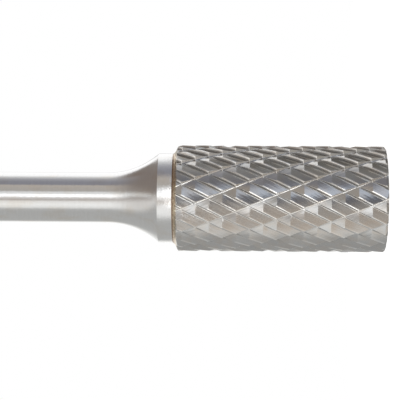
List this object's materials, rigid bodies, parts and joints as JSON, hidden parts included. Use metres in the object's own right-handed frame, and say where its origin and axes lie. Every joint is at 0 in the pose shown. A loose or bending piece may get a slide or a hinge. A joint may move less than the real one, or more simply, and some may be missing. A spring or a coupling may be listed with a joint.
{
  "type": "carbide burr",
  "caption": "Cylindrical double-cut carbide burr with crossing helical teeth, brazed to a round steel shank with a flared collar.",
  "frame": {"origin": "centre of the flat tip face, which the burr stands on", "axes": "+Z along the burr's axis, from the tip towards the free end of the shank; a cutting edge of the right-hand cut crosses the tip plane near +X"},
  "size_m": [0.0126, 0.0126, 0.07],
  "materials": {
    "ground_carbide": "ground, satin",
    "braze_alloy": "as brazed, satin",
    "ground_steel": "ground, bright"
  },
  "bodies": {
    "root": {"carbide_head": "ground_carbide", "braze_joint": "braze_alloy", "steel_shank": "ground_steel"}
  },
  "joints": []
}
